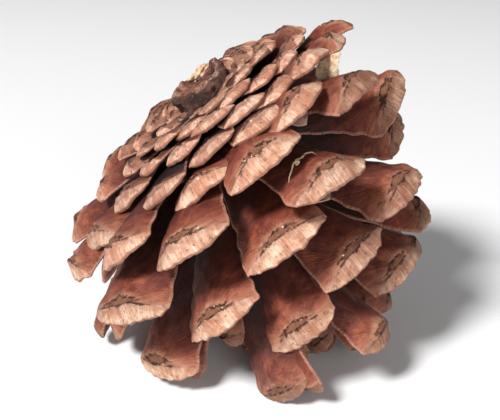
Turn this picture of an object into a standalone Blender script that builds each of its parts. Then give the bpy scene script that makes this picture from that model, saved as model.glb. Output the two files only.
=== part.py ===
"""An open pine cone, lying base up on its lower scales. Metres, +Z up.

The cone is one grown body: a woody axis with a broken stem scar, and its seed scales set on a
137.9 degree spiral. The oldest scales lie shut round the scar and make the flat base. The later
ones have opened wide. The cone grew a little askew, as such cones do.
"""

import math
import random

import bmesh
import bpy
import numpy as np
from mathutils import Euler, Matrix, Vector

MM = 0.001
WELD = 3e-7

# The spiral that the scales follow, counted outward from the stem.
FIRST_SCALE = -10
LAST_SCALE = 118
OPEN_FROM = 42
OPEN_TO = 98
TURN_PER_SCALE = 137.92
TURN_OF_SCALE_0 = 28.8

# How far out from the axis each umbo sits, and how far down the axis, by scale number.
NUMBER_STOPS = (-10, 0, 15, 30, 45, 60, 75, 92, 105, 118)
UMBO_RADIUS_MM = (6.2, 8.5, 14.8, 20.2, 27.8, 40.0, 36.0, 38.0, 23.0, 6.5)
UMBO_DEPTH_MM = (0.6, 0.3, 0.0, 2.8, 4.4, 12.0, 35.0, 46.5, 52.5, 55.5)
ROOT_DEPTH_MM = (0.5, 1.0, 1.8, 3.0, 4.8, 9.0, 16.0, 25.0, 36.0, 48.0)
OPENING_DEG = (0.0, -1.0, -2.0, -4.0, -6.0, -14.0, -30.0, -50.0, -62.0, -72.0)

# The size of each scale, by scale number.
WIDTH_MM = (5.0, 8.0, 10.5, 12.0, 16.0, 20.0, 18.5, 10.5, 8.5, 5.0)
TIP_MM = (1.4, 1.9, 2.4, 2.7, 2.7, 2.7, 2.8, 2.5, 2.0, 1.4)
KEEL_MM = (1.3, 1.8, 2.3, 2.7, 3.1, 3.7, 3.7, 3.2, 2.6, 1.8)
ROOT_SHARE = 0.36
WAIST_SHARE = 0.68
NECK_SHARE = 0.86
TIP_SHARE = 0.50
NECK_SWELL = 0.45
SHOULDER_AT = 0.55
SHOULDER_RISE = 0.68
BEND_SHARE = 0.45
LIP_MM = 1.0
EDGE_MM = 0.7
BLADE_MM = 1.7

# The scales that opened otherwise than the rule says: how far out and down their umbos sit, how
# far round they are turned, how much more they droop, and how far their ends swing sideways.
OPENED_OTHERWISE = {
    34: (0.0, 0.0, 0.0, 0.0, 10.0), 36: (3.0, 0.8, 0.0, 0.0, 22.0),
    39: (0.0, 0.0, 6.0, 0.0, -6.0), 41: (0.5, 0.8, 0.0, 0.0, 36.0),
    42: (0.0, 0.0, 0.0, 0.0, -24.0), 44: (-0.8, 2.5, -5.0, 0.0, 6.0),
    49: (7.0, 0.5, -4.0, 0.0, 20.0), 52: (0.0, -1.5, 3.0, 0.0, 0.0),
    54: (0.0, 0.0, 0.0, 0.0, 25.0), 55: (0.0, 1.5, 0.0, 0.0, -14.0),
    57: (0.0, 0.9, -3.0, 0.0, 8.0), 60: (-1.5, 4.0, -5.0, 0.0, 0.0),
    62: (4.2, 3.5, 1.0, 0.0, 16.0), 63: (-0.7, 6.0, 0.0, 0.0, -30.0),
    65: (-2.0, 0.4, 3.0, 0.0, 0.0), 67: (0.0, -8.0, 0.0, 0.0, 10.0),
    68: (0.0, 7.2, 2.0, 0.0, -15.0), 70: (-0.6, 1.8, 0.0, 0.0, 16.0),
    71: (3.5, 6.5, 0.0, 0.0, -35.0), 73: (-0.8, -0.6, 4.0, 0.0, 0.0),
    75: (2.9, 5.2, -2.2, 0.0, 6.0), 76: (0.0, 7.0, 0.0, 0.0, 0.0),
    78: (-0.9, 1.7, 1.0, 0.0, 0.0), 81: (-1.0, 2.8, 0.0, 0.0, -18.0),
    83: (0.0, 11.3, 11.0, 20.0, 0.0), 86: (-0.6, 6.8, 6.0, 10.0, 8.0),
    88: (-6.2, 4.4, 3.7, 0.0, 0.0), 91: (0.0, 6.0, 0.0, 20.0, 0.0),
    93: (0.0, -5.4, 0.0, 0.0, 0.0), 94: (-9.0, 0.0, 0.0, 0.0, 0.0),
    96: (-8.0, -5.0, 0.0, 0.0, 0.0), 98: (0.0, 5.2, 0.0, 0.0, 0.0),
    99: (-6.0, 0.0, -12.0, 0.0, 0.0), 115: (0.0, 1.7, 0.0, 0.0, 0.0),
}
LOOSE_SPREAD_MM = 0.5

# The cone grew askew: one side spreads wider, the other hangs deeper, and the axis leans. The
# scales also bank about their own length, some more than the rest.
SKEW_FULL_AT_MM = 13.0
FULLY_SKEWED_AT = 15.0
NARROW_SHARE = (0.0, 0.0, 0.0, 0.0, 0.03, 0.06, 0.14, 0.28, 0.3, 0.2)
NARROW_TOWARDS_DEG = 22.0
DEEP_SHARE = 0.26
DEEP_TOWARDS_DEG = 45.0
DROOP_DEG = 8.0
BANK_DEG = 12.0
BANKED_OTHERWISE = {60: -18.0, 62: -10.0, 63: 12.0, 68: -8.0, 71: 18.0,
                    75: -12.0, 86: -25.0, 91: 62.0}
AXIS_LEAN = -0.28
SEED = 11

# The woody axis, from the crumbled stem scar down.
AXIS_DEPTH_MM = (-3.3, -2.6, -1.0, 2.0, 8.0, 20.0, 34.0, 46.0, 55.0)
AXIS_RADIUS_MM = (4.6, 6.2, 6.9, 7.2, 6.4, 5.6, 4.8, 3.4, 1.8)
AXIS_SIDES = 12
SCAR_ROUGH_MM = 0.4
AXIS_ROUGH_MM = 0.1
ROOT_RADIUS_MM = 3.0

# How the cone lies: turned about X, then Y, then Z. Its lowest tips are worn flat by REST_CUT_MM.
LIE_DEG = (37.6, -3.0, -75.4)
REST_CUT_MM = 0.6


def by_number(n, values):
    """The value that belongs to scale n, between the listed stops."""
    return float(np.interp(n, NUMBER_STOPS, values))


def frame_at(depth, turn):
    """The point on the axis, and the outward, sideways and baseward directions there."""
    out = Vector((math.cos(turn), math.sin(turn), 0.0))
    side = Vector((-math.sin(turn), math.cos(turn), 0.0))
    return Vector((0.0, AXIS_LEAN * max(depth, 0.0), -depth)), out, side, Vector((0.0, 0.0, 1.0))


def turn_of(n):
    return math.radians(TURN_OF_SCALE_0 + TURN_PER_SCALE * n)


def skew_share(n):
    """How far the skew has grown by scale n, from none at the scar to all of it."""
    return min(1.0, max(0.0, n / FULLY_SKEWED_AT))


def scale_line(n, draw):
    """Root, bend point and umbo of a scale, with its end direction and its sideways one."""
    more_out, more_down, more_turn, more_droop, swing = OPENED_OTHERWISE.get(n, (0.0,) * 5)
    turn = turn_of(n) + math.radians(more_turn)
    depth = by_number(n, UMBO_DEPTH_MM)
    skew = min(1.0, max(0.0, depth / SKEW_FULL_AT_MM))
    towards = math.cos(turn - math.radians(NARROW_TOWARDS_DEG))
    narrow = 1.0 - by_number(n, NARROW_SHARE) * towards
    deep = math.cos(turn - math.radians(DEEP_TOWARDS_DEG))
    radius = by_number(n, UMBO_RADIUS_MM) * narrow
    radius += more_out + draw.uniform(-1, 1) * LOOSE_SPREAD_MM
    lower = depth * DEEP_SHARE * deep + more_down + draw.uniform(-1, 1) * LOOSE_SPREAD_MM
    centre, out, side, base_way = frame_at(depth, turn)
    umbo = centre + out * radius - base_way * lower
    opening = math.radians(by_number(n, OPENING_DEG) - DROOP_DEG * skew * deep - more_droop)
    side.rotate(Matrix.Rotation(math.radians(swing), 3, "Z"))
    along = side.cross(base_way) * math.cos(opening) + base_way * math.sin(opening)
    root_centre, root_out, _, _ = frame_at(by_number(n, ROOT_DEPTH_MM), turn)
    root = root_centre + root_out * ROOT_RADIUS_MM
    bend = umbo - along * (umbo - root).length * BEND_SHARE
    bank = math.radians(BANKED_OTHERWISE.get(n, -BANK_DEG * skew_share(n) * math.sin(turn)))
    side = side * math.cos(bank) + along.cross(side) * math.sin(bank)
    return root, bend, umbo, along, side


def ring_points(centre, side, normal, width, top, edge, fine):
    """The points across a scale: three or five over its outer face, two under it."""
    half = width / 2
    shoulder = edge + (top - edge) * SHOULDER_RISE
    heights = [(-1.0, edge), (0.0, top), (1.0, edge)]
    if fine:
        heights = [(-1.0, edge), (-SHOULDER_AT, shoulder), (0.0, top),
                   (SHOULDER_AT, shoulder), (1.0, edge)]
    points = [centre + side * (half * x) + normal * z for x, z in heights]
    points.append(centre + side * half)
    points.append(centre - side * half)
    return points


def scale_rings(n, draw):
    """The rings of one scale, from its root out to the lip."""
    root, bend, umbo, along, side = scale_line(n, draw)
    width = by_number(n, WIDTH_MM)
    keel = by_number(n, KEEL_MM)
    stations = [(0.0, ROOT_SHARE, BLADE_MM), (0.5, WAIST_SHARE, BLADE_MM), (1.0, 1.0, keel)]
    fine = OPEN_FROM <= n <= OPEN_TO
    if fine:
        stations.insert(2, (0.8, NECK_SHARE, BLADE_MM + (keel - BLADE_MM) * NECK_SWELL))
    rings = []
    for t, share, top in stations:
        centre = root * (1 - t) ** 2 + bend * (2 * t * (1 - t)) + umbo * t ** 2
        heading = ((bend - root) * (1 - t) + (umbo - bend) * t).normalized()
        normal = heading.cross(side).normalized()
        edge = EDGE_MM if t > 0 else BLADE_MM
        rings.append(ring_points(centre - normal * keel / 2, side, normal,
                                 width * share, top, edge, fine))
    normal = along.cross(side).normalized()
    tip = umbo + along * by_number(n, TIP_MM) - normal * keel / 2
    rings.append(ring_points(tip, side, normal, width * TIP_SHARE, LIP_MM, EDGE_MM, fine))
    return rings


def solid_from_rings(name, rings, collection):
    """A closed solid through rings of equal count, all faces as triangles."""
    bm = bmesh.new()
    rows = [[bm.verts.new(p * MM) for p in ring] for ring in rings]
    count = len(rows[0])
    for low, high in zip(rows, rows[1:]):
        for i in range(count):
            j = (i + 1) % count
            bm.faces.new((low[i], low[j], high[j], high[i]))
    bm.faces.new(rows[0])
    bm.faces.new(rows[-1])
    bmesh.ops.recalc_face_normals(bm, faces=bm.faces)
    bmesh.ops.triangulate(bm, faces=bm.faces)
    mesh = bpy.data.meshes.new(name)
    bm.to_mesh(mesh)
    bm.free()
    obj = bpy.data.objects.new(name, mesh)
    collection.objects.link(obj)
    return obj


def axis_solid(lie, collection, draw):
    """The woody axis, from the crumbled stem scar down to its thin end."""
    rings = []
    for depth, radius in zip(AXIS_DEPTH_MM, AXIS_RADIUS_MM):
        ring = []
        for k in range(AXIS_SIDES):
            centre, out, _, base_way = frame_at(depth, math.tau * k / AXIS_SIDES)
            rough = draw.uniform(-1, 1) * (SCAR_ROUGH_MM if depth < 0 else AXIS_ROUGH_MM)
            ring.append(lie @ (centre + out * (radius + rough) + base_way * rough))
        rings.append(ring)
    return solid_from_rings("pine_cone", rings, collection)


def join_scales(body, scales):
    """Fuse every scale into the body with one union, then drop the loose scales."""
    cut = body.modifiers.new("grown_together", "BOOLEAN")
    cut.operation = "UNION"
    cut.operand_type = "COLLECTION"
    cut.collection = scales
    cut.solver = "MANIFOLD"
    bpy.context.view_layer.objects.active = body
    bpy.ops.object.modifier_apply(modifier=cut.name)
    for obj in list(scales.objects):
        bpy.data.objects.remove(obj, do_unlink=True)
    bpy.data.collections.remove(scales)


def keep_largest_shell(bm):
    """Fill the hollows that fusing sealed, and drop loose scraps."""
    seen, shells = set(), []
    for face in bm.faces:
        if face in seen:
            continue
        stack, shell = [face], []
        seen.add(face)
        while stack:
            here = stack.pop()
            shell.append(here)
            for edge in here.edges:
                for other in edge.link_faces:
                    if other not in seen:
                        seen.add(other)
                        stack.append(other)
        shells.append(shell)
    shells.sort(key=len)
    for shell in shells[:-1]:
        bmesh.ops.delete(bm, geom=shell, context="FACES")


def wear_flat(bm, height):
    """Wear the lowest tips flat at the height they rest on."""
    geom = bm.verts[:] + bm.edges[:] + bm.faces[:]
    bmesh.ops.bisect_plane(bm, geom=geom, dist=1e-6, plane_co=(0, 0, height),
                           plane_no=(0, 0, -1), clear_outer=True)
    open_edges = [e for e in bm.edges if e.is_boundary]
    bmesh.ops.holes_fill(bm, edges=open_edges, sides=0)


def finish_body(body):
    """One clean closed shell that stands on z = 0, over the middle of its outline."""
    bm = bmesh.new()
    bm.from_mesh(body.data)
    bmesh.ops.remove_doubles(bm, verts=bm.verts, dist=WELD)
    keep_largest_shell(bm)
    low = min(v.co.z for v in bm.verts)
    wear_flat(bm, low + REST_CUT_MM * MM)
    bmesh.ops.triangulate(bm, faces=bm.faces)
    bmesh.ops.recalc_face_normals(bm, faces=bm.faces)
    xs = [v.co.x for v in bm.verts]
    ys = [v.co.y for v in bm.verts]
    low = min(v.co.z for v in bm.verts)
    middle = Vector(((min(xs) + max(xs)) / 2, (min(ys) + max(ys)) / 2, low))
    bmesh.ops.translate(bm, verts=bm.verts, vec=-middle)
    bm.to_mesh(body.data)
    bm.free()


def wood(name, color, roughness):
    material = bpy.data.materials.new(name)
    material.use_nodes = True
    shader = material.node_tree.nodes["Principled BSDF"]
    shader.inputs["Base Color"].default_value = color
    shader.inputs["Roughness"].default_value = roughness
    return material


def build():
    for obj in list(bpy.data.objects):
        bpy.data.objects.remove(obj, do_unlink=True)
    draw = random.Random(SEED)
    lie = Euler([math.radians(a) for a in LIE_DEG], "XYZ").to_matrix()
    scene = bpy.context.scene.collection
    body = axis_solid(lie, scene, draw)
    scales = bpy.data.collections.new("scales")
    scene.children.link(scales)
    for n in range(FIRST_SCALE, LAST_SCALE + 1):
        rings = [[lie @ p for p in ring] for ring in scale_rings(n, draw)]
        solid_from_rings("scale", rings, scales)
    join_scales(body, scales)
    finish_body(body)
    body.data.materials.clear()
    body.data.materials.append(wood("cone_wood", (0.42, 0.20, 0.11, 1.0), 0.6))


build()
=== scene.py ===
import math
import random

import bpy
import numpy as np
from mathutils import Euler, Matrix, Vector


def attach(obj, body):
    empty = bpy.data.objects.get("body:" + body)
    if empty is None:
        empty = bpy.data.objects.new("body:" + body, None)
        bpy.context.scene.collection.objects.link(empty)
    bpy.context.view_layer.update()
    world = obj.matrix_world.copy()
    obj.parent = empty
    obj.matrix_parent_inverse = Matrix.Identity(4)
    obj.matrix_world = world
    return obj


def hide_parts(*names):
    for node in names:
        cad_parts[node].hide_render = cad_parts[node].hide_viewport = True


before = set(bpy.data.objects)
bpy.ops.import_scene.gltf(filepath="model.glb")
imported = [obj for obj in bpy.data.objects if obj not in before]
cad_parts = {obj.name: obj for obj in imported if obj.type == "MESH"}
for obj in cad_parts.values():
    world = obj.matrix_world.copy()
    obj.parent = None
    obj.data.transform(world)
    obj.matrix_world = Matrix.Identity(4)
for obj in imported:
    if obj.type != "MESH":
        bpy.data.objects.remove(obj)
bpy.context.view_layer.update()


# The closed seed scales at the base. They are woody plates, each grown out of the axis on one
# spiral, and they lie shut over one another round the stem scar, so only a lens-shaped shield of
# each shows: a pale lip, a dark crack along its keel, and the small sunk umbo behind that.

NUMBER_STOPS = (-10, 0, 15, 30, 45, 60, 75, 92, 105, 118)
UMBO_RADIUS_MM = (6.2, 8.5, 14.8, 20.2, 27.8, 40.0, 36.0, 38.0, 23.0, 6.5)
UMBO_DEPTH_MM = (0.6, 0.3, 0.0, 2.8, 4.4, 12.0, 35.0, 46.5, 52.5, 55.5)
ROOT_DEPTH_MM = (0.5, 1.0, 1.8, 3.0, 4.8, 9.0, 16.0, 25.0, 36.0, 48.0)
OPENING_DEG = (0.0, -1.0, -2.0, -4.0, -6.0, -14.0, -30.0, -50.0, -62.0, -72.0)
WIDTH_MM = (5.0, 8.0, 10.5, 12.0, 16.0, 20.0, 18.5, 10.5, 8.5, 5.0)
TIP_MM = (1.4, 1.9, 2.4, 2.7, 2.7, 2.7, 2.8, 2.5, 2.0, 1.4)
KEEL_MM = (1.3, 1.8, 2.3, 2.7, 3.1, 3.7, 3.7, 3.2, 2.6, 1.8)
NARROW_SHARE = (0.0, 0.0, 0.0, 0.0, 0.03, 0.06, 0.14, 0.28, 0.3, 0.2)
FIRST_SCALE, FIRST_OPEN_SCALE, FIRST_POINT_SCALE, LAST_SCALE = -10, 42, 99, 118
TURN_OF_SCALE_0, TURN_PER_SCALE = 28.8, 137.92
ROOT_RADIUS_MM, LOOSE_SPREAD_MM, BEND_SHARE = 3.0, 0.5, 0.45
SKEW_FULL_AT_MM, AXIS_LEAN = 13.0, -0.28
NARROW_TOWARDS_DEG, DEEP_TOWARDS_DEG, DEEP_SHARE, DROOP_DEG = 22.0, 45.0, 0.26, 8.0
BANK_DEG, FULLY_BANKED_AT = 12.0, 15.0
BANKED_OTHERWISE = {60: -18.0, 62: -10.0, 63: 12.0, 68: -8.0, 71: 18.0,
                    75: -12.0, 86: -25.0, 91: 62.0}
OPENED_OTHERWISE = {  # out, down, turned, drooping, swung
    34: (0.0, 0.0, 0.0, 0.0, 10.0), 36: (3.0, 0.8, 0.0, 0.0, 22.0),
    39: (0.0, 0.0, 6.0, 0.0, -6.0), 41: (0.5, 0.8, 0.0, 0.0, 36.0),
    42: (0.0, 0.0, 0.0, 0.0, -24.0), 44: (-0.8, 2.5, -5.0, 0.0, 6.0),
    49: (7.0, 0.5, -4.0, 0.0, 20.0), 52: (0.0, -1.5, 3.0, 0.0, 0.0),
    54: (0.0, 0.0, 0.0, 0.0, 25.0), 55: (0.0, 1.5, 0.0, 0.0, -14.0),
    57: (0.0, 0.9, -3.0, 0.0, 8.0), 60: (-1.5, 4.0, -5.0, 0.0, 0.0),
    62: (4.2, 3.5, 1.0, 0.0, 16.0), 63: (-0.7, 6.0, 0.0, 0.0, -30.0),
    65: (-2.0, 0.4, 3.0, 0.0, 0.0), 67: (0.0, -8.0, 0.0, 0.0, 10.0),
    68: (0.0, 7.2, 2.0, 0.0, -15.0), 70: (-0.6, 1.8, 0.0, 0.0, 16.0),
    71: (3.5, 6.5, 0.0, 0.0, -35.0), 73: (-0.8, -0.6, 4.0, 0.0, 0.0),
    75: (2.9, 5.2, -2.2, 0.0, 6.0), 76: (0.0, 7.0, 0.0, 0.0, 0.0),
    78: (-0.9, 1.7, 1.0, 0.0, 0.0), 81: (-1.0, 2.8, 0.0, 0.0, -18.0),
    83: (0.0, 11.3, 11.0, 20.0, 0.0), 86: (-0.6, 6.8, 6.0, 10.0, 8.0),
    88: (-6.2, 4.4, 3.7, 0.0, 0.0), 91: (0.0, 6.0, 0.0, 20.0, 0.0),
    93: (0.0, -5.4, 0.0, 0.0, 0.0), 94: (-9.0, 0.0, 0.0, 0.0, 0.0),
    96: (-8.0, -5.0, 0.0, 0.0, 0.0), 98: (0.0, 5.2, 0.0, 0.0, 0.0),
    99: (-6.0, 0.0, -12.0, 0.0, 0.0), 115: (0.0, 1.7, 0.0, 0.0, 0.0),
}
LIE_DEG = (37.6, -3.0, -75.4)
LIE = np.array(Euler([math.radians(angle) for angle in LIE_DEG], "XYZ").to_matrix())
DISC_CENTRE = np.array((-0.0099853, -0.0051132, 0.0626448))
MM = 0.001

growth = random.Random(11)
for _ in range(9 * 12):
    growth.uniform(-1, 1)
LOOSE = {n: (growth.uniform(-1, 1), growth.uniform(-1, 1))
         for n in range(FIRST_SCALE, LAST_SCALE + 1)}


def by_number(n, values):
    return float(np.interp(n, NUMBER_STOPS, values))


def turn_of(n, more_turn=0.0):
    return math.radians(TURN_OF_SCALE_0 + TURN_PER_SCALE * n + more_turn)


def out_at(turn):
    return np.array((math.cos(turn), math.sin(turn), 0.0))


def axis_point(depth):
    return np.array((0.0, AXIS_LEAN * max(depth, 0.0), -depth))


def unit(vector):
    return vector / np.linalg.norm(vector, axis=-1, keepdims=True)


def scale_line(n):
    """Root, bend and umbo of a scale, the way its end points, and its sideways direction."""
    more_out, more_down, more_turn, more_droop, swing = OPENED_OTHERWISE.get(n, (0.0,) * 5)
    turn = turn_of(n, more_turn)
    depth = by_number(n, UMBO_DEPTH_MM)
    skew = min(1.0, max(0.0, depth / SKEW_FULL_AT_MM))
    deep = math.cos(turn - math.radians(DEEP_TOWARDS_DEG))
    towards = math.cos(turn - math.radians(NARROW_TOWARDS_DEG))
    radius = by_number(n, UMBO_RADIUS_MM) * (1.0 - by_number(n, NARROW_SHARE) * towards)
    radius += more_out + LOOSE[n][0] * LOOSE_SPREAD_MM
    lower = depth * DEEP_SHARE * deep + more_down + LOOSE[n][1] * LOOSE_SPREAD_MM
    base_way = np.array((0.0, 0.0, 1.0))
    umbo = axis_point(depth) + out_at(turn) * radius - base_way * lower
    opening = math.radians(by_number(n, OPENING_DEG) - DROOP_DEG * skew * deep - more_droop)
    heading = turn + math.radians(swing)
    along = out_at(heading) * math.cos(opening) + base_way * math.sin(opening)
    root = axis_point(by_number(n, ROOT_DEPTH_MM)) + out_at(turn) * ROOT_RADIUS_MM
    bend = umbo - along * np.linalg.norm(umbo - root) * BEND_SHARE
    side = np.array((-math.sin(heading), math.cos(heading), 0.0))
    banked = -BANK_DEG * min(1.0, max(0.0, n / FULLY_BANKED_AT)) * math.sin(turn)
    bank = math.radians(BANKED_OTHERWISE.get(n, banked))
    side = side * math.cos(bank) + np.cross(along, side) * math.sin(bank)
    return root, bend, umbo, along, side


def place_along(line, t):
    """Middle, heading and face normal of a scale at the share t of the way from root to umbo."""
    root, bend, umbo, _, side = line
    middle = root * (1 - t) ** 2 + bend * (2 * t * (1 - t)) + umbo * t ** 2
    heading = unit((bend - root) * (1 - t) + (umbo - bend) * t)
    return middle, heading, unit(np.cross(heading, side))


def length_of(line):
    root, bend, umbo = line[:3]
    return np.linalg.norm(umbo - bend) + np.linalg.norm(bend - root)


def smooth(value, low, high):
    share = np.clip((value - low) / (high - low), 0.0, 1.0)
    return share * share * (3 - 2 * share)


SHUT_UP_TO, OPEN_FROM = 36, 50
BLADE_MM, SHUT_BLADE_LESS_MM, SHUT_KEEL_LESS = 1.7, 0.8, 0.26
LIP_EDGE_MM, LIP_MIDDLE_MORE_MM, SIDE_EDGE_MM = 0.55, 0.45, 0.5
CUPPED_SHARE, SHUT_CUPPED_LESS = 0.055, 0.03
SWELL_FROM, SHUT_SWELL_LATER, DOME_POWER = 0.5, 0.32, 1.9
OUTLINE_AT = (0.0, 0.3, 0.5, 0.65, 0.8, 0.92, 1.0)
OUTLINE_HALF = (0.36, 0.58, 0.69, 0.76, 0.86, 0.96, 1.0)
OUTLINE_WAIST = (0.0, 0.0, 1.0, 1.2, 1.0, 0.0, 0.0)


def shut_share(n):
    return float(np.interp(n, (SHUT_UP_TO, OPEN_FROM), (1.0, 0.0)))


def half_width(n, t, waist=0.0):
    halves = [half + share * waist for half, share in zip(OUTLINE_HALF, OUTLINE_WAIST)]
    return by_number(n, WIDTH_MM) / 2 * np.interp(t, OUTLINE_AT, halves)


def cross_section(n, t, x):
    """Height of a scale's inner face, and its thickness, at t along it and x of its half width."""
    shut = shut_share(n)
    keel = by_number(n, KEEL_MM) * (1 - SHUT_KEEL_LESS * shut)
    cupped = (CUPPED_SHARE - SHUT_CUPPED_LESS * shut) * by_number(n, WIDTH_MM)
    blade = BLADE_MM - SHUT_BLADE_LESS_MM * shut
    swell = blade + (keel - blade) * smooth(t, SWELL_FROM + SHUT_SWELL_LATER * shut, 1.0)
    thick = SIDE_EDGE_MM + (swell - SIDE_EDGE_MM) * (1 - np.abs(x) ** DOME_POWER)
    return -keel / 2 - cupped * x * x * t, thick


def lone(obj):
    """Select this object alone, and make it the one that the operators work on."""
    bpy.ops.object.select_all(action="DESELECT")
    obj.select_set(True)
    bpy.context.view_layer.objects.active = obj


def faces_outward():
    """Turn all faces of the mesh in edit mode outward, and leave edit mode."""
    bpy.ops.mesh.select_all(action="SELECT")
    bpy.ops.mesh.normals_make_consistent(inside=False)
    bpy.ops.object.mode_set(mode="OBJECT")


def scale_blank(across, lengthwise):
    """A flat plate, two walls deep, that every scale of one size is bent from."""
    bpy.ops.object.select_all(action="DESELECT")
    bpy.ops.mesh.primitive_grid_add(x_subdivisions=across, y_subdivisions=lengthwise, size=2.0)
    blank = bpy.context.object
    bpy.ops.object.mode_set(mode="EDIT")
    bpy.ops.mesh.select_all(action="SELECT")
    for _ in range(2):
        bpy.ops.mesh.extrude_region_move(TRANSFORM_OT_translate={"value": (0.0, 0.0, 0.5)})
    faces_outward()
    return blank


def copy_of(blank):
    """A copy with its own mesh, and with the blank's flat picture place taken off."""
    copy = blank.copy()
    copy.data = blank.data.copy()
    bpy.context.collection.objects.link(copy)
    for old in list(copy.data.uv_layers):
        copy.data.uv_layers.remove(old)
    return copy


def points_of(mesh):
    flat = np.empty(len(mesh.vertices) * 3)
    mesh.vertices.foreach_get("co", flat)
    return flat.reshape(-1, 3)


def set_on_cone(mesh, points_mm):
    """Move a mesh's points to these places in the cone's own mm, none below the ground."""
    placed = points_mm @ LIE.T * MM + DISC_CENTRE
    placed[:, 2] = np.maximum(placed[:, 2], 0.0)
    mesh.vertices.foreach_set("co", placed.ravel())


def ripple(draw, u, v, waves, across_mm, along_mm):
    """A soft unevenness from a few crossing waves of about these lengths."""
    total = np.zeros_like(u)
    for _ in range(waves):
        a = math.tau / (across_mm * draw.uniform(0.7, 1.5)) * draw.choice((-1, 1))
        b = math.tau / (along_mm * draw.uniform(0.7, 1.5))
        total += np.sin(a * u + b * v + draw.uniform(0, math.tau))
    return total / math.sqrt(waves)


FULL_SIZE_MM, SCALE_SEED = 18.0, 5000
BLADE_ROWS, ROW_CROWDING = 0.70, 1.35
WAIST_SPREAD, TWIST_DEG = 0.05, 4.0
LIP_BACK, LIP_ROUND, EDGE_BEAD_MM, NO_WAVE_MM = 0.35, 0.86, 0.18, 50.0
BLUNT_ON_ONE_SIDE, BLUNT_ON_OTHER = (1.7, 2.6), (2.3, 4.2)
UMBO_HALF_SHARE, UMBO_DEEP_MM, UMBO_BACK_SHARE = 0.19, 1.2, 0.75
UMBO_ACROSS_POWER, UMBO_DEEP_POWER = 1.15, 1.3
SHADED_TOWARDS_DEG = 95.0


def umbo_relief(p, q):
    """A sunk lens with a raised rim, and a small boss in its middle."""
    ring = np.abs(p) ** UMBO_ACROSS_POWER + np.abs(q) ** UMBO_DEEP_POWER
    sunk = -0.42 * smooth(-ring, -1.15, -0.75)
    rim = 0.22 * np.exp(-((ring - 1.35) / 0.35) ** 2)
    return sunk + rim + 0.30 * np.exp(-4.0 * (p * p * 2 + q * q))


def lip_shade_and_far_paleness(n):
    """How much scale n's lip is darkened, low on the cone, and with painted shade on the side in
    shadow. Also how much its shut face is made paler on the far side.
    """
    turn = turn_of(n)
    shaded = float(np.clip(1.7 * math.cos(turn - math.radians(SHADED_TOWARDS_DEG)) - 0.5, 0.0, 1.0))
    low = max(float(np.interp(n, (76, 90), (0.0, 1.0))), shaded * (n > 54) * 0.85)
    return low, shut_share(n) * float(np.clip(0.75 - 1.1 * math.cos(turn), 0.0, 1.0))


def noted(mesh, places, facts):
    """Keep flat places and plain values on the mesh for its finish to read."""
    corner = np.empty(len(mesh.loops), dtype=np.int32)
    mesh.loops.foreach_get("vertex_index", corner)
    for name, (first, second) in places.items():
        layer = mesh.uv_layers.new(name=name)
        layer.uv.foreach_set("vector", np.stack((first[corner], second[corner]), 1).ravel())
    for name, values in facts.items():
        layer = mesh.attributes.new(name, "FLOAT", "POINT")
        everywhere = np.broadcast_to(values, len(mesh.vertices))
        layer.data.foreach_set("value", everywhere.astype(np.float32))


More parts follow.
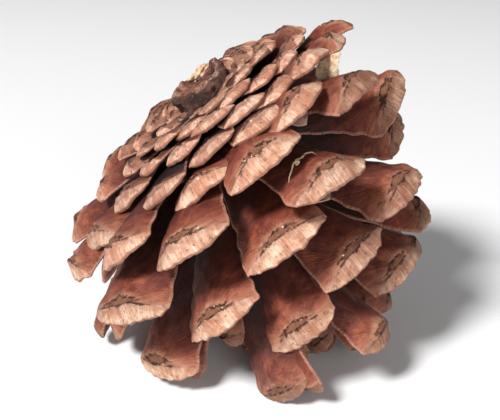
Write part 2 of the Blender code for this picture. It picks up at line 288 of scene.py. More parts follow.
def shaped_scale(blank, n):
    """A copy of the blank, bent and swollen into scale n."""
    draw = random.Random(SCALE_SEED + n)
    scale = copy_of(blank)
    x, s, wall = points_of(scale.data).T
    s = (s + 1) / 2
    line = scale_line(n)
    length, width, tip = length_of(line), by_number(n, WIDTH_MM), by_number(n, TIP_MM)
    size, shut, reach = min(1.0, width / FULL_SIZE_MM), shut_share(n), np.abs(x)

    # Rows crowd towards the keel, and the last ones turn over it and down the lip.
    t = 1 - (1 - np.minimum(s / BLADE_ROWS, 1.0)) ** ROW_CROWDING
    lip = np.clip((s - BLADE_ROWS) / (1 - BLADE_ROWS), 0.0, 1.0)
    waist = draw.uniform(-WAIST_SPREAD, WAIST_SPREAD) + WAIST_SPREAD * shut
    u = x * half_width(n, t, waist)
    back = LIP_BACK * tip * reach ** 2.2 * smooth(t, 0.35, 1.0)
    blunt = np.where(x < 0, draw.uniform(*BLUNT_ON_ONE_SIDE), draw.uniform(*BLUNT_ON_OTHER))
    forward = lip * tip * (1 - LIP_ROUND * reach ** blunt)
    v = (t - 1) * length - back + forward
    ragged = ripple(draw, u, v * 0, 4, 2.6 * size + 0.4, NO_WAVE_MM) * 0.16 * size
    ragged += ripple(draw, u, v * 0, 3, 1.1, NO_WAVE_MM) * 0.07 * size
    forward = forward + ragged * lip
    side_wave = ripple(draw, v, u * 0, 3, 6.0, NO_WAVE_MM) * 0.22 * size
    u = u + side_wave * x * reach * (t > 0.3)

    under, thick = cross_section(n, t, x)
    under = under + ripple(draw, u, v, 4, 9.0, 12.0) * 0.22 * size * t
    thin = lip ** (1.3 + 0.5 * shut)
    thick = (LIP_EDGE_MM + LIP_MIDDLE_MORE_MM * (1 - x * x)) * thin + thick * (1 - thin)
    face = ripple(draw, u, v, 5, 4.0, 7.0) * 0.09 * size
    face += ripple(draw, u, v * 0.3, 5, 1.3, 9.0) * 0.05 * size * smooth(lip, 0.0, 0.15)
    p = u / (UMBO_HALF_SHARE * width)
    q = (v + back + UMBO_DEEP_MM * size * UMBO_BACK_SHARE) / (UMBO_DEEP_MM * size)
    face += umbo_relief(p, q) * size
    thick = thick + face * (1 - reach ** 6) * smooth(t, 0.15, 0.4)
    twist = math.radians(draw.uniform(-TWIST_DEG, TWIST_DEG))
    height = under + thick * wall + u * math.tan(twist) * t
    bead = (np.abs(wall - 0.5) < 0.1) * EDGE_BEAD_MM
    u = u + bead * np.where(reach > 0.999, np.sign(x), 0.0)
    end = forward - back + bead * (s > 0.999)

    middle, heading, normal = place_along(line, t[:, None])
    side = line[-1]
    set_on_cone(scale.data, middle + side * u[:, None] + heading * end[:, None]
                + normal * height[:, None])
    # The lips of low scales are darkened, and on the side in shadow with painted shade. Shut faces
    # on the far side are made paler.
    low, far_paleness = lip_shade_and_far_paleness(n)
    noted(scale.data, {"on_scale_mm": (u, v), "on_umbo": (p, q)}, {
        "low": low, "across": x, "lip_mm": forward - np.where(lip > 0, 0.0, (1 - t) * length),
        "outer_face": np.where(wall > 0.75, 1.0, 0.0), "chance": draw.random(),
        "shut": shut, "far_paleness": far_paleness})
    return scale


class Dye:
    """Short names for the shader nodes that colour the wood, all laid in one node tree."""

    def __init__(self, tree):
        self.tree = tree

    def put(self, where, value):
        """Put a number, a colour or another node's output into an input."""
        if hasattr(value, "links"):
            self.tree.links.new(value, where)
        else:
            where.default_value = (*value, 1.0) if where.type == "RGBA" else value

    def node(self, kind, inputs, **settings):
        node = self.tree.nodes.new(kind)
        for name, setting in settings.items():
            setattr(node, name, setting)
        for where, value in inputs.items():
            self.put(node.inputs[where], value)
        return node.outputs

    def maths(self, operation, *values):
        return self.node("ShaderNodeMath", dict(enumerate(values)), operation=operation)[0]

    def plus(self, first, second):
        return self.maths("ADD", first, second)

    def minus(self, first, second):
        return self.maths("SUBTRACT", first, second)

    def times(self, first, second):
        return self.maths("MULTIPLY", first, second)

    def over(self, first, second):
        return self.maths("DIVIDE", first, second)

    def times_plus(self, first, second, more):
        return self.maths("MULTIPLY_ADD", first, second, more)

    def swung(self, noise, by):
        """Noise made to swing about zero by this much."""
        return self.times(self.minus(noise, 0.5), by)

    def amount(self, value):
        return self.maths("ABSOLUTE", value)

    def larger(self, first, second):
        return self.maths("MAXIMUM", first, second)

    def step(self, value, low, high):
        return self.node("ShaderNodeMapRange", {0: value, 1: low, 2: high},
                         interpolation_type="SMOOTHSTEP")[0]

    def speckle(self, place, scale, detail=2.0, rough=0.5):
        return self.node("ShaderNodeTexNoise", {"Vector": place, "Scale": scale,
                                                "Detail": detail, "Roughness": rough})[0]

    def stretched(self, place, *scales):
        return self.node("ShaderNodeMapping", {"Vector": place, "Scale": scales})[0]

    def tint(self, share, first, second, blend="MIX"):
        return self.node("ShaderNodeMix", {0: share, 6: first, 7: second},
                         data_type="RGBA", blend_type=blend)[2]

    def dimmed(self, share, colour, by):
        """A colour, and by this share the same one multiplied by a darker one."""
        return self.tint(share, colour, self.tint(1.0, colour, by, "MULTIPLY"))

    def either(self, share, first, second):
        return self.node("ShaderNodeMix", {0: share, 2: first, 3: second})[0]

    def run(self, value, stops):
        node = self.tree.nodes.new("ShaderNodeValToRGB")
        self.put(node.inputs[0], value)
        while len(node.color_ramp.elements) < len(stops):
            node.color_ramp.elements.new(0.5)
        for element, (place, colour) in zip(node.color_ramp.elements, stops):
            element.position = place
            element.color = (*colour, 1.0)
        return node.outputs[0]

    def fact(self, name):
        return self.node("ShaderNodeAttribute", {}, attribute_name=name)["Fac"]

    def flat_place(self, name):
        return self.node("ShaderNodeUVMap", {}, uv_map=name)[0]

    def place_in_mm(self):
        spot = self.node("ShaderNodeTexCoord", {})["Object"]
        return self.stretched(spot, 1 / MM, 1 / MM, 1 / MM)

    def split(self, place):
        return self.node("ShaderNodeSeparateXYZ", {0: place})[:2]

    def joined(self, *values):
        return self.node("ShaderNodeCombineXYZ", dict(enumerate(values)))[0]

    def grain(self, place):
        """The streaks and the flecks of the shared wood grain at this place."""
        node = self.tree.nodes.new("ShaderNodeGroup")
        node.node_tree = WOOD_GRAIN
        self.put(node.inputs["Place"], place)
        return node.outputs["Streaks"], node.outputs["Flecks"]

    def roughened(self, shader, height, strength, deep_m):
        bump = self.node("ShaderNodeBump", {"Strength": strength, "Distance": deep_m,
                                            "Height": height})
        self.put(shader["Normal"], bump[0])


def wood_grain():
    """Fine lines of grain over a plane in mm, with the odd dark fleck among them."""
    group = bpy.data.node_groups.new("wood_streaks", "ShaderNodeTree")
    group.interface.new_socket("Place", in_out="INPUT", socket_type="NodeSocketVector")
    group.interface.new_socket("Streaks", in_out="OUTPUT", socket_type="NodeSocketFloat")
    group.interface.new_socket("Flecks", in_out="OUTPUT", socket_type="NodeSocketFloat")
    place = group.nodes.new("NodeGroupInput").outputs["Place"]
    end = group.nodes.new("NodeGroupOutput")
    dye = Dye(group)
    broad = dye.speckle(dye.stretched(place, 1.1, 0.10, 1.0), 1.0, 3.0, 0.6)
    fine = dye.speckle(dye.stretched(place, 4.2, 0.28, 1.0), 1.0, 3.0, 0.65)
    both = dye.plus(dye.times(broad, 0.5), dye.times(fine, 0.5))
    flecks = dye.speckle(dye.stretched(place, 2.6, 1.2, 1.0), 1.0, 2.0, 0.6)
    dye.put(end.inputs["Streaks"], dye.step(both, 0.33, 0.67))
    dye.put(end.inputs["Flecks"], dye.step(flecks, 0.64, 0.74))
    return group


WOOD_GRAIN = wood_grain()


def new_finish(name):
    """A new material, the dye that fills it, and the inputs of its shader."""
    material = bpy.data.materials.new(name)
    material.use_nodes = True
    shader = material.node_tree.nodes["Principled BSDF"]
    return material, Dye(material.node_tree), shader.inputs


class ScalePlaces:
    """Where on its scale each point lies, and the marks that several coats of colour share."""

    def __init__(self, dye):
        self.u, self.v = dye.split(dye.flat_place("on_scale_mm"))
        self.p, self.q = dye.split(dye.flat_place("on_umbo"))
        self.from_keel = dye.fact("lip_mm")
        self.chance = dye.fact("chance")
        self.shut, self.low, self.far_paleness = (dye.fact(name) for name in
                                              ("shut", "low", "far_paleness"))
        self.open = dye.minus(1.0, self.shut)
        self.across = dye.amount(dye.fact("across"))
        shift = dye.times(self.chance, 317.0)
        self.own_u = dye.plus(self.u, shift)
        self.own = dye.joined(self.own_u, self.v, 0.0)
        self.patches = dye.speckle(self.own, 0.22, 4.0, 0.6)
        self.crumbs = dye.speckle(self.own, 2.4, 3.0, 0.7)
        self.ragged_keel = dye.plus(self.from_keel, dye.swung(self.crumbs, 0.9))
        # On the blade the grain fans out from the umbo, and over the lip it runs straight.
        fan = dye.maths("ARCTAN2", self.u, dye.minus(1.5, self.v))
        radius = dye.maths("SQRT", dye.plus(dye.times(self.u, self.u), dye.times(self.v, self.v)))
        fanned = dye.joined(dye.plus(dye.times(fan, 9.0), shift), radius, 0.0)
        self.face_streaks = dye.grain(fanned)[0]
        self.lip_streaks, self.lip_flecks = dye.grain(self.own)


def face_colour(dye, at):
    """The red-brown blade, darker wood towards its root, taken down to near black there by painted
    shade, with a paler apron behind the umbo.
    """
    # The blade darkens towards its root. Its wood is darker there, and painted shade takes it down
    # to near black. On the shut plates the darkening comes three times as fast, as painted shade
    # between the lips.
    loose = dye.plus(at.from_keel, dye.swung(at.patches, 9.0))
    loose = dye.times(loose, dye.times_plus(at.shut, 3.0, 1.0))
    outward = dye.over(dye.plus(loose, 30.0), 35.0)
    face = dye.run(outward, (
        (0.00, (0.018, 0.005, 0.004)), (0.35, (0.050, 0.011, 0.007)),
        (0.55, (0.115, 0.024, 0.014)), (0.70, (0.215, 0.050, 0.028)),
        (0.78, (0.330, 0.100, 0.056)), (0.86, (0.470, 0.205, 0.125))))
    # The faces of the shut plates, in the gaps between the lips, are darkened further with painted
    # shade, less on the far side.
    gap_shade = dye.times(dye.minus(at.shut, at.far_paleness), 0.8)
    face = dye.dimmed(gap_shade, face, (0.22, 0.14, 0.13))
    # Patches of painted orange highlight on the outer part of the open faces.
    orange_highlight = dye.times(dye.step(at.patches, 0.50, 0.64), dye.step(outward, 0.45, 0.75))
    orange_highlight = dye.times(dye.times(orange_highlight, at.open), 0.55)
    face = dye.tint(orange_highlight, face, (0.400, 0.105, 0.042))
    behind = dye.larger(dye.times(at.from_keel, -1.0), 0.0)
    apron = dye.plus(dye.over(dye.amount(at.p), 2.7),
                     dye.over(behind, dye.times_plus(at.shut, -2.6, 4.4)))
    apron = dye.plus(apron, dye.swung(at.patches, 0.8))
    pale = dye.times(dye.step(apron, 1.05, 0.62), 0.72)
    # On the far side the shut plates' faces are made paler behind the keel.
    paler_far_face = dye.times(at.far_paleness, dye.step(at.from_keel, -5.5, -2.0))
    pale = dye.larger(pale, dye.times(paler_far_face, 0.85))
    face = dye.tint(pale, face, (0.50, 0.250, 0.158))
    mottles = dye.speckle(dye.joined(at.own_u, at.v, 3.0), 0.42, 4.0, 0.65)
    face = dye.dimmed(dye.times(dye.step(mottles, 0.46, 0.62), 0.62), face, (0.40, 0.28, 0.26))
    return dye.dimmed(dye.times(at.face_streaks, 0.62), face, (0.46, 0.32, 0.28))


def lip_colour(dye, at):
    """The cream lip: brown along the keel, scuffed and stained in patches, finely cracked."""
    lip = dye.tint(dye.step(at.patches, 0.36, 0.62), (0.55, 0.275, 0.170), (0.82, 0.570, 0.415))
    stains = dye.speckle(dye.joined(dye.times(at.own_u, 0.5), at.v, 7.0), 0.55, 4.0, 0.65)
    orange, cream = dye.step(stains, 0.50, 0.62), dye.step(stains, 0.44, 0.34)
    lip = dye.tint(dye.times(orange, 0.50), lip, (0.44, 0.165, 0.085))
    lip = dye.tint(dye.times(cream, 0.50), lip, (0.86, 0.670, 0.510))
    near_keel = dye.times(dye.step(at.ragged_keel, 1.9, 0.3), at.open)
    lip = dye.tint(dye.times(near_keel, 0.45), lip, (0.30, 0.115, 0.066))
    lip = dye.dimmed(dye.times(at.lip_streaks, 0.72), lip, (0.46, 0.32, 0.25))
    lip = dye.tint(dye.times(at.lip_flecks, 0.85), lip, (0.12, 0.045, 0.030))
    return dye.dimmed(dye.times(at.shut, 0.9), lip, (0.98, 0.90, 0.90))


def flecked_lip(dye, at, lip):
    """The shut plates are rough and dark round a flat umbo, and all lips have dark specks."""
    flat_umbo = dye.plus(dye.times(dye.amount(at.p), 0.62),
                         dye.times(dye.amount(dye.minus(at.from_keel, 0.35)), 0.72))
    flat_umbo = dye.times_plus(dye.minus(at.crumbs, 0.5), 1.3, flat_umbo)
    flat_umbo = dye.times(dye.step(flat_umbo, 1.05, 0.80), at.shut)
    brown = dye.tint(at.crumbs, (0.130, 0.045, 0.030), (0.52, 0.270, 0.190))
    lip = dye.tint(dye.times(flat_umbo, 0.80), lip, brown)
    specks = dye.step(dye.speckle(dye.joined(at.own_u, at.v, 11.0), 1.5, 3.0, 0.7), 0.60, 0.68)
    share = dye.times(dye.times(specks, 0.75), dye.times_plus(at.shut, 0.3, 0.7))
    lip = dye.tint(share, lip, (0.115, 0.040, 0.028))
    # The lips of low scales are darkened, and those on the side in shadow with painted shade.
    return dye.dimmed(dye.times(at.low, 0.85), lip, (0.42, 0.30, 0.25)), flat_umbo, specks


def umbo_and_crack(dye, at, colour):
    """The umbo is a rough lens with a dark broken outline. A crack runs along the keel."""
    rim = dye.plus(dye.maths("POWER", dye.amount(at.p), UMBO_ACROSS_POWER),
                   dye.maths("POWER", dye.amount(at.q), UMBO_DEEP_POWER))
    rim = dye.plus(rim, dye.swung(dye.speckle(at.own, 1.0, 3.0, 0.7), 2.0))
    umbo = dye.step(rim, 1.25, 0.85)
    outline = dye.times(dye.step(rim, 0.74, 0.98), dye.step(rim, 1.42, 1.12))
    rough_wood = dye.tint(at.crumbs, (0.120, 0.030, 0.016), (0.50, 0.230, 0.130))
    rough_wood = dye.tint(dye.times(at.lip_streaks, 0.6), rough_wood, (0.13, 0.048, 0.030))
    colour = dye.tint(umbo, colour, rough_wood)
    crack = dye.times(dye.step(dye.amount(at.ragged_keel), 0.30, 0.10),
                      dye.step(at.across, 0.74, 0.50))
    broken = dye.step(dye.speckle(at.own, 0.7, 3.0, 0.65), 0.40, 0.56)
    dark = dye.times(dye.larger(outline, crack), broken)
    return dye.tint(dye.times(dark, 0.94), colour, (0.030, 0.009, 0.006)), umbo, dark


def inner_colour(dye, at):
    """The inner face bears the pale prints of two seed wings."""
    wing = dye.times(dye.step(at.across, 0.06, 0.16), dye.step(at.across, 0.86, 0.70))
    wing = dye.times(wing, dye.step(at.from_keel, -1.0, -3.0))
    inner = dye.tint(dye.times(at.face_streaks, 0.6), (0.27, 0.115, 0.078), (0.13, 0.045, 0.030))
    inner = dye.tint(dye.times(wing, 0.55), inner, (0.40, 0.21, 0.145))
    return dye.tint(dye.step(at.from_keel, 0.3, 1.8), inner, (0.36, 0.165, 0.11))


def scale_wood():
    material, dye, shader = new_finish("scale_wood")
    at = ScalePlaces(dye)
    on_lip = dye.step(at.ragged_keel, -0.15, 0.2)
    lip, flat_umbo, specks = flecked_lip(dye, at, lip_colour(dye, at))
    colour = dye.tint(on_lip, face_colour(dye, at), lip)
    colour, umbo, dark = umbo_and_crack(dye, at, colour)
    outer = dye.step(dye.fact("outer_face"), 0.3, 0.7)
    colour = dye.tint(outer, inner_colour(dye, at), colour)
    # A painted highlight along the thin side edges, in broken patches.
    edge_highlight = dye.times(dye.step(at.across, 0.955, 0.995), dye.step(at.crumbs, 0.35, 0.6))
    colour = dye.tint(dye.times(edge_highlight, 0.6), colour, (0.50, 0.26, 0.18))
    grade = dye.times_plus(at.chance, 0.30, 0.85)
    grade = dye.joined(grade, grade, grade)
    dye.put(shader["Base Color"], dye.tint(1.0, colour, grade, "MULTIPLY"))

    # Thin films of resin leave the face shinier in patches.
    rough = dye.times_plus(dye.step(at.patches, 0.52, 0.70), -0.24, 0.56)
    dye.put(shader["Roughness"], dye.times_plus(at.crumbs, 0.12, rough))
    shader["Specular IOR Level"].default_value = 0.38

    relief = dye.times(dye.either(on_lip, at.face_streaks, at.lip_streaks), -0.35)
    relief = dye.times_plus(at.crumbs, 0.30, relief)
    relief = dye.times_plus(dark, -1.1, relief)
    relief = dye.times_plus(dye.larger(umbo, flat_umbo), dye.times(at.crumbs, 0.9), relief)
    dye.roughened(shader, dye.times_plus(specks, -0.35, relief), 0.9, 0.00045)
    return material


SCALE_WOOD = scale_wood()
SHARP_DEG = 50.0


def finished(piece, name, material):
    """Name a piece, give it its finish, and set it on the cone in the CAD cone's stead."""
    piece.name = name
    piece.data.name = name
    piece.data.materials.clear()
    piece.data.materials.append(material)
    lone(piece)
    bpy.ops.object.shade_smooth_by_angle(angle=math.radians(SHARP_DEG))
    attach(piece, "root")
    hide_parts("pine_cone")


def as_one(pieces):
    lone(pieces[0])
    for piece in pieces:
        piece.select_set(True)
    bpy.ops.object.join()
    return pieces[0]


def scales_as_one(name, blank, first, after_last):
    """Copies of the blank, one for each number, joined into one piece."""
    scales = [shaped_scale(blank, n) for n in range(first, after_last)]
    finished(as_one(scales), name, SCALE_WOOD)


small_blank = scale_blank(26, 28)
scales_as_one("closed_base_scales", small_blank, FIRST_SCALE, FIRST_OPEN_SCALE)
bpy.data.objects.remove(small_blank, do_unlink=True)


# The open seed scales, the widest of the cone. Each is a woody shovel that bent outward from the
# axis as it dried: thin sides, a domed red-brown face, and a swollen head with keel, umbo and lip.

open_blank = scale_blank(44, 50)
scales_as_one("open_scales_outermost", open_blank, FIRST_OPEN_SCALE, 57)
scales_as_one("open_scales_second_round", open_blank, 57, 71)
scales_as_one("open_scales_third_round", open_blank, 71, 85)
scales_as_one("open_scales_fourth_round", open_blank, 85, FIRST_POINT_SCALE)
bpy.data.objects.remove(open_blank, do_unlink=True)


# The small scales at the cone's point. They are the last ones that grew, narrow and crowded, and
# they stand nearly in line with the axis.

point_blank = scale_blank(20, 26)
scales_as_one("point_scales", point_blank, FIRST_POINT_SCALE, LAST_SCALE + 1)
bpy.data.objects.remove(point_blank, do_unlink=True)


# The woody axis that the scales grew from. It is thick and dark, and its upper end is the scar
# where the stalk broke off: a crumbled ring of bark with torn fibres.

SCAR_PLUG_MM = ((-2.4, 0.3), (-2.6, 1.6), (-3.0, 2.9), (-3.7, 3.9), (-3.5, 4.6), (-2.6, 5.1),
                (-1.2, 5.2), (-0.2, 5.4), (0.6, 6.0), (1.0, 6.8))
AXIS_ROD_MM = ((2.0, 7.2), (8.0, 6.4), (20.0, 5.6), (34.0, 4.8), (46.0, 3.4), (55.0, 1.8),
               (55.4, 0.3))
SCAR_LINES, SCAR_ROW_MM, ROD_ROW_MM = 96, 0.45, 2.0
SCAR_ASIDE_MM, SCAR_WIDER = 1.1, 0.34
TORN_WAVES = ((2, 0.4, 0.5), (3, 0.9, 1.1), (5, 1.3, 0.8), (9, 2.0, 1.7),
              (14, 2.6, 2.4), (23, 3.1, 3.0), (37, 4.0, 3.6))


def axis_wood():
    material, dye, shader = new_finish("axis_wood")
    in_mm = dye.place_in_mm()
    lumps = dye.speckle(in_mm, 0.45, 5.0, 0.65)
    grit = dye.speckle(in_mm, 2.2, 4.0, 0.7)
    streaks, flecks = dye.grain(in_mm)
    radius = dye.plus(dye.fact("from_middle_mm"), dye.swung(lumps, 3.0))
    colour = dye.run(lumps, (
        (0.34, (0.024, 0.009, 0.006)), (0.45, (0.135, 0.040, 0.022)),
        (0.54, (0.300, 0.115, 0.070)), (0.68, (0.520, 0.270, 0.180))))
    wall = dye.times(dye.step(radius, 3.9, 4.7), 0.80)
    colour = dye.dimmed(wall, colour, (0.16, 0.13, 0.11))
    rim = dye.times(dye.step(radius, 3.7, 4.1), dye.step(radius, 4.6, 4.2))
    rim = dye.times(rim, dye.step(grit, 0.42, 0.60))
    colour = dye.tint(dye.times(rim, 0.85), colour, (0.56, 0.35, 0.24))
    colour = dye.tint(dye.times(flecks, 0.6), colour, (0.36, 0.25, 0.17))
    colour = dye.tint(dye.times(streaks, 0.4), colour, (0.040, 0.018, 0.013))
    dye.put(shader["Base Color"], colour)
    dye.put(shader["Roughness"], dye.times_plus(grit, 0.25, 0.62))
    dye.roughened(shader, dye.plus(grit, dye.times(lumps, 1.5)), 0.9, 0.0006)
    return material


AXIS_WOOD = axis_wood()


def rings_between(path):
    """The path's rings of depth and radius, with more between them, closer near the scar."""
    fine = [path[0]]
    for (d0, r0), (d1, r1) in zip(path, path[1:]):
        row = SCAR_ROW_MM if d0 < 3 else ROD_ROW_MM
        count = max(1, round(math.hypot(d1 - d0, r1 - r0) / row))
        fine += [(d0 + (d1 - d0) * k / count, r0 + (r1 - r0) * k / count)
                 for k in range(1, count + 1)]
    return fine


def crumbled(points, draw, share, pushes=22):
    """Push points about by waves, each with a direction of its own."""
    for _ in range(pushes):
        wave = unit(np.array([draw.uniform(-1, 1) for _ in range(3)])) * draw.uniform(1.2, 4.5)
        push = unit(np.array([draw.uniform(-1, 1) for _ in range(3)]))
        size = 0.62 / np.linalg.norm(wave) ** 0.7
        shift = np.sin(points @ wave + draw.uniform(0, math.tau)) * size * share
        points = points + push * shift[:, None] * 0.42
    return points


def stem_axis():
    """A rod drawn out ring by ring, its top end dished and crumbled."""
    draw = random.Random(77)
    rings = rings_between(SCAR_PLUG_MM + AXIS_ROD_MM)
    bpy.ops.object.select_all(action="DESELECT")
    bpy.ops.mesh.primitive_circle_add(vertices=SCAR_LINES, radius=MM, fill_type="NOTHING")
    rod = bpy.context.object
    bpy.ops.object.mode_set(mode="EDIT")
    bpy.ops.mesh.select_all(action="SELECT")
    for _ in rings[1:]:
        bpy.ops.mesh.extrude_edges_move(TRANSFORM_OT_translate={"value": (0, 0, -MM)})
    bpy.ops.object.mode_set(mode="OBJECT")
    x, y, z = points_of(rod.data).T
    turn = np.arctan2(y, x)
    depth, radius = np.array(rings)[np.rint(-z / MM).astype(int)].T
    outer = smooth(2.0 - depth, 0.0, 2.0) * smooth(radius, 0.5, 3.5)
    torn = sum(np.sin(k * turn + depth * a + radius * b + draw.uniform(0, math.tau)) / k ** 0.5
               for k, a, b in TORN_WAVES)
    grown = radius + torn * 0.24 * outer * smooth(radius, 3.0, 4.6)
    dents = np.abs(np.sin(3 * turn + 1.1 * radius) + np.sin(5 * turn - 1.9 * radius + 1.0))
    rise = -depth + (torn * 0.36 - 0.42 * dents) * outer
    rise = rise - 0.8 * smooth(np.cos(turn - 0.4) * radius, 1.0, 4.5) * outer
    leant = AXIS_LEAN * np.maximum(depth, 0.0) + SCAR_ASIDE_MM * outer
    across = grown * np.sin(turn) * (1 + SCAR_WIDER * outer)
    points = np.stack((grown * np.cos(turn), across + leant, rise), 1)
    set_on_cone(rod.data, crumbled(points, draw, outer * (radius > 0.6)))
    noted(rod.data, {}, {"from_middle_mm": radius})
    lone(rod)
    bpy.ops.object.mode_set(mode="EDIT")
    bpy.ops.mesh.select_all(action="SELECT")
    bpy.ops.mesh.fill_holes(sides=0)
    faces_outward()
    return rod


finished(stem_axis(), "axis_and_stem_scar", AXIS_WOOD)


# A crumb of pale torn bast that still hangs on the far rim of the stem scar, where the stalk came
# away last. It is soft, fibrous and lighter than all the wood round it.

CRUMB_AT_MM, CRUMB_HALF_MM = (-3.2, 3.0, 2.9), (1.4, 2.6, 1.2)


def pale_bast():
    material, dye, shader = new_finish("pale_bast")
    in_mm = dye.place_in_mm()
    lumps = dye.speckle(in_mm, 0.9, 4.0, 0.65)
    streaks, flecks = dye.grain(in_mm)
    colour = dye.run(lumps, (
        (0.30, (0.230, 0.110, 0.060)), (0.46, (0.560, 0.380, 0.230)),
        (0.60, (0.760, 0.620, 0.430)), (0.75, (0.880, 0.790, 0.620))))
    colour = dye.tint(dye.times(streaks, 0.45), colour, (0.36, 0.20, 0.11))
    colour = dye.tint(dye.times(flecks, 0.60), colour, (0.16, 0.07, 0.04))
    dye.put(shader["Base Color"], colour)
    dye.put(shader["Roughness"], dye.times_plus(lumps, 0.2, 0.62))
    dye.roughened(shader, lumps, 0.8, 0.0003)
    return material


PALE_BAST = pale_bast()


def lumpy_crumb(place, half_sizes, seed, detail=3):
    """A small ball, pushed in and out into a torn lump, at a place in the cone's own mm."""
    draw = random.Random(seed)
    bpy.ops.object.select_all(action="DESELECT")
    bpy.ops.mesh.primitive_ico_sphere_add(subdivisions=detail, radius=1.0)
    crumb = bpy.context.object
    way = unit(points_of(crumb.data))
    swell = np.ones(len(way))
    for _ in range(14):
        wave = unit(np.array([draw.uniform(-1, 1) for _ in range(3)])) * draw.uniform(4, 13)
        swell += 0.075 * np.sin(way @ wave + draw.uniform(0, math.tau))
    set_on_cone(crumb.data, way * swell[:, None] * np.array(half_sizes) + np.array(place))
    return crumb


finished(lumpy_crumb(CRUMB_AT_MM, CRUMB_HALF_MM, 5, 5), "torn_bast_on_scar", PALE_BAST)


# Two seed wings that never flew. Each is a skin of wood, as thin as paper, that still lies on the
# inner face of its scale, and its round end has come away and hangs a little below.

LOW_WING = {"n": 60, "u_mid": -3.0, "v_end": 0.6, "long_mm": 15.0, "half_mm": 3.6,
            "gap_mm": 2.7, "roll_mm": 0.3}
HIGH_WING = {"n": 47, "u_mid": -1.6, "v_end": 1.4, "long_mm": 12.0, "half_mm": 2.6,
             "gap_mm": 2.6, "roll_mm": -0.7}
WING_MM, SUNK_IN_MM, ROUND_FROM, ROUND_OVER = 0.28, 0.25, 0.72, 0.29


def on_scale(n, u, v, outer=True, lift=0.0):
    """A place on scale n in the cone's mm: u across, v past the umbo, lift off that face."""
    line = scale_line(n)
    t = min(1.0, max(0.0, 1 + v / length_of(line)))
    middle, heading, normal = place_along(line, t)
    under, thick = cross_section(n, t, min(1.0, abs(u) / half_width(n, t)))
    height = under + thick + lift if outer else under - lift
    return middle + line[-1] * u + heading * max(v, 0.0) + normal * height


def bent_flake(blank, middle_at, half_at, thick_mm, seed, torn_share):
    """A copy of the blank as a thin flake, about middles and half widths given from 0 to 1."""
    draw = random.Random(seed)
    flake = copy_of(blank)
    x, s, wall = points_of(flake.data).T
    s = (s + 1) / 2
    torn = 1 + ripple(draw, s * 10, x * 0, 4, 2.0, NO_WAVE_MM) * torn_share
    points = np.empty((len(x), 3))
    for k in range(len(x)):
        place, side, normal = middle_at(s[k], x[k])
        points[k] = place + side * (x[k] * half_at(s[k]) * torn[k]) + normal * (wall[k] * thick_mm)
    set_on_cone(flake.data, points)
    lone(flake)
    bpy.ops.object.mode_set(mode="EDIT")
    faces_outward()
    return flake


def seed_wing(blank, seed, n, u_mid, v_end, long_mm, half_mm, gap_mm, roll_mm):
    """A wing flat on scale n's inner face at its start, its round end hanging a gap below."""
    along, side = scale_line(n)[3:]

    def middle_at(s, x):
        gap = (gap_mm + roll_mm * x) * s ** 2 - SUNK_IN_MM
        return (on_scale(n, u_mid, v_end - long_mm * (1 - s), False, gap), side,
                unit(np.cross(along, side)))

    def half_at(s):
        rounding = 1 - max(0.0, (s - ROUND_FROM) / ROUND_OVER) ** 2
        return half_mm * (0.45 + 0.55 * s) * math.sqrt(max(0.0, rounding))

    return bent_flake(blank, middle_at, half_at, WING_MM, seed, 0.02)


def wing_skin():
    material, dye, shader = new_finish("wing_skin")
    in_mm = dye.place_in_mm()
    streaks, flecks = dye.grain(in_mm)
    clouds = dye.speckle(in_mm, 0.5, 3.0, 0.6)
    colour = dye.tint(dye.step(clouds, 0.36, 0.62), (0.250, 0.135, 0.100), (0.480, 0.310, 0.230))
    colour = dye.tint(dye.times(streaks, 0.5), colour, (0.150, 0.075, 0.055))
    colour = dye.tint(dye.times(flecks, 0.5), colour, (0.080, 0.035, 0.026))
    dye.put(shader["Base Color"], colour)
    dye.put(shader["Roughness"], dye.times_plus(clouds, 0.2, 0.45))
    dye.roughened(shader, streaks, 0.6, 0.0002)
    return material


WING_SKIN = wing_skin()
thin_blank = scale_blank(10, 22)
finished(seed_wing(thin_blank, 61, **LOW_WING), "seed_wing_low", WING_SKIN)
finished(seed_wing(thin_blank, 47, **HIGH_WING), "seed_wing_high", WING_SKIN)


# A torn flake of pale wood, broken from a plate above. It is wedged upright on the outer face of
# an open scale near the rim of the closed base, and leans towards that rim.

FLAKE_ON, FLAKE_U, FLAKE_V, FLAKE_FOOT_MM, FLAKE_MM = 55, 4.6, -9.6, 1.9, 0.5
FLAKE_LEAN, FLAKE_BOW = np.array((0.2, 3.9, 4.1)), np.array((0.0, -0.5, 0.6))
FLAKE_SIDE, FLAKE_FACE = np.array((0.75, 0.45, -0.45)), unit(np.array((0.9, -0.3, 0.35)))


def torn_flake(blank):
    def middle_at(s, x):
        foot = on_scale(FLAKE_ON, FLAKE_U, FLAKE_V + FLAKE_FOOT_MM * x, True, -0.3)
        lean = FLAKE_LEAN * s + FLAKE_BOW * math.sin(math.pi * s)
        return foot + lean, FLAKE_SIDE, FLAKE_FACE

    def half_at(s):
        return 0.9 * math.sqrt(max(0.0, 1 - s ** 3)) + 0.15

    return bent_flake(blank, middle_at, half_at, FLAKE_MM, 9, 0.14)


finished(torn_flake(thin_blank), "torn_flake", PALE_BAST)
bpy.data.objects.remove(thin_blank, do_unlink=True)


# A loose fibre of bast with a small kink in it. It lies across the outer face of an open scale,
# and both its ends are caught in the wood.

FIBRE_ON, FIBRE_RADIUS_MM, FIBRE_STEPS = 60, 0.2, 5
FIBRE_MM = ((3.0, -7.4, -0.3), (1.8, -7.2, 0.9), (0.2, -7.6, 1.3), (-1.6, -6.7, 1.4),
            (-2.9, -7.3, 1.8), (-3.5, -6.4, 1.2), (-2.6, -6.1, 1.6), (-3.6, -7.0, 2.0),
            (-4.9, -6.4, 1.4), (-6.0, -6.3, 0.9), (-7.0, -5.6, -0.3))  # across, past umbo, lift


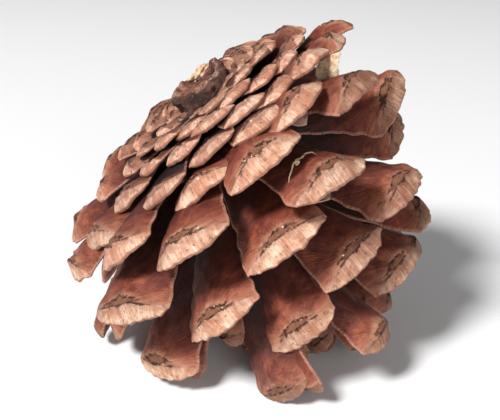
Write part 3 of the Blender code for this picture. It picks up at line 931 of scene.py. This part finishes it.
def softened(places):
    """A finer line through the places, with its corners rounded off."""
    at = np.linspace(0, len(places) - 1, FIBRE_STEPS * len(places))
    line = np.stack([np.interp(at, np.arange(len(places)), values) for values in places.T], 1)
    for _ in range(3):
        line[1:-1] = (line[:-2] + 2 * line[1:-1] + line[2:]) / 4
    return line


def thread(places, radius_mm):
    """A fine round fibre through these places, tapering to both ends."""
    line = softened(np.array(places))
    bpy.ops.object.select_all(action="DESELECT")
    bpy.ops.mesh.primitive_circle_add(vertices=8, radius=MM, fill_type="NGON")
    fibre = bpy.context.object
    bpy.ops.object.mode_set(mode="EDIT")
    bpy.ops.mesh.select_all(action="SELECT")
    for _ in line[1:]:
        bpy.ops.mesh.extrude_region_move(TRANSFORM_OT_translate={"value": (0, 0, -MM)})
    bpy.ops.object.mode_set(mode="OBJECT")
    x, y, z = points_of(fibre.data).T
    row = np.rint(-z / MM).astype(int)
    way = unit(np.gradient(line, axis=0))
    first = unit(np.cross(way, np.array((0.31, 0.20, 0.93))))
    second = np.cross(way, first)
    thick = radius_mm * np.sqrt(np.clip(1.04 - (2 * row / (len(line) - 1) - 1) ** 2, 0, 1))
    round_it = first[row] * (x / MM)[:, None] + second[row] * (y / MM)[:, None]
    set_on_cone(fibre.data, line[row] + round_it * thick[:, None])
    lone(fibre)
    bpy.ops.object.mode_set(mode="EDIT")
    faces_outward()
    return fibre


fibre_line = [on_scale(FIBRE_ON, u, v, True, lift) for u, v, lift in FIBRE_MM]
finished(thread(fibre_line, FIBRE_RADIUS_MM), "loose_fibre", PALE_BAST)


# Drops of resin that bled from the scale ends and set hard. They are whitish and glossy, a
# quarter to half a millimetre across, and sit half sunk in the wood.

RESIN_AT = ((26, 1.0, 0.6), (52, -1.2, 0.2), (52, -2.6, -0.6), (57, 5.0, -0.4), (65, 2.0, -1.6),
            (70, 1.4, -1.8), (70, 3.1, -0.4), (73, -2.4, -1.5), (78, 1.8, -1.2), (44, 1.6, 0.5),
            (39, -1.5, 0.4), (61, 2.2, -0.8), (66, -2.0, 0.3), (74, 1.2, -1.0), (82, -1.8, 0.3))
SMALLEST_DROP_MM, LARGEST_DROP_MM, DROP_LIFT_MM = 0.13, 0.28, 0.05


def set_resin():
    material, dye, shader = new_finish("set_resin")
    clouds = dye.speckle(dye.place_in_mm(), 1.6, 3.0, 0.6)
    dye.put(shader["Base Color"],
            dye.tint(dye.step(clouds, 0.38, 0.60), (0.52, 0.29, 0.17), (0.80, 0.68, 0.56)))
    dye.put(shader["Roughness"], dye.times_plus(clouds, 0.2, 0.12))
    return material


def resin_drops():
    draw = random.Random(31)
    drops = []
    for n, u, v in RESIN_AT:
        half = draw.uniform(SMALLEST_DROP_MM, LARGEST_DROP_MM)
        spot = on_scale(n, u, v, True, DROP_LIFT_MM)
        drops.append(lumpy_crumb(spot, (half, half * 1.2, half * 0.9), n))
    return as_one(drops)


finished(resin_drops(), "resin_drops", set_resin())


# The studio: a plain pale floor, one broad soft light above, and a weak one that opens the
# shadows. The camera looks down a little, as the photograph does.

FLOOR_SIZE = 6.0
bpy.ops.object.select_all(action="DESELECT")
bpy.ops.mesh.primitive_plane_add(size=FLOOR_SIZE, location=(0.0, 0.0, 0.0))
floor = bpy.context.object
floor.name = "studio_floor"
floor_paint, paint, paint_shader = new_finish("floor_paint")
paint_mottle = paint.speckle(paint.node("ShaderNodeTexCoord", {})["Object"], 3.0)
paint.put(paint_shader["Base Color"],
          paint.tint(paint_mottle, (0.86, 0.86, 0.86), (0.90, 0.90, 0.90)))
paint_shader["Roughness"].default_value = 0.9
floor.data.materials.append(floor_paint)


def soft_light(name, place, aim, size, power):
    bpy.ops.object.light_add(type="AREA", location=place)
    light = bpy.context.object
    light.name = name
    light.data.shape = "DISK"
    light.data.size = size
    light.data.energy = power
    light.rotation_euler = (Vector(aim) - Vector(place)).to_track_quat("-Z", "Y").to_euler()


soft_light("light_above", (-1.05, -1.25, 1.70), (0.0, 0.0, 0.04), 0.55, 76.0)
soft_light("light_front", (0.30, -0.80, 0.30), (0.0, 0.0, 0.03), 0.5, 2.5)
studio_air = bpy.data.worlds.new("studio_air")
studio_air.use_nodes = True
air_light = studio_air.node_tree.nodes["Background"].inputs
air_light["Color"].default_value = (1.0, 1.0, 1.0, 1.0)
air_light["Strength"].default_value = 0.19
bpy.context.scene.world = studio_air
bpy.context.scene.view_settings.view_transform = "Standard"

CAMERA_FROM_DISC, CAMERA_TILT_DEG, LENS_MM = (0.010579, -0.189069, 0.048981), 68.0, 63.5
bpy.ops.object.camera_add(location=DISC_CENTRE + CAMERA_FROM_DISC,
                          rotation=(math.radians(CAMERA_TILT_DEG), 0.0, 0.0))
camera = bpy.context.object
camera.data.sensor_width = 36.0
camera.data.lens = LENS_MM
camera.data.clip_start = 0.01
camera.data.clip_end = 20.0
bpy.context.scene.camera = camera
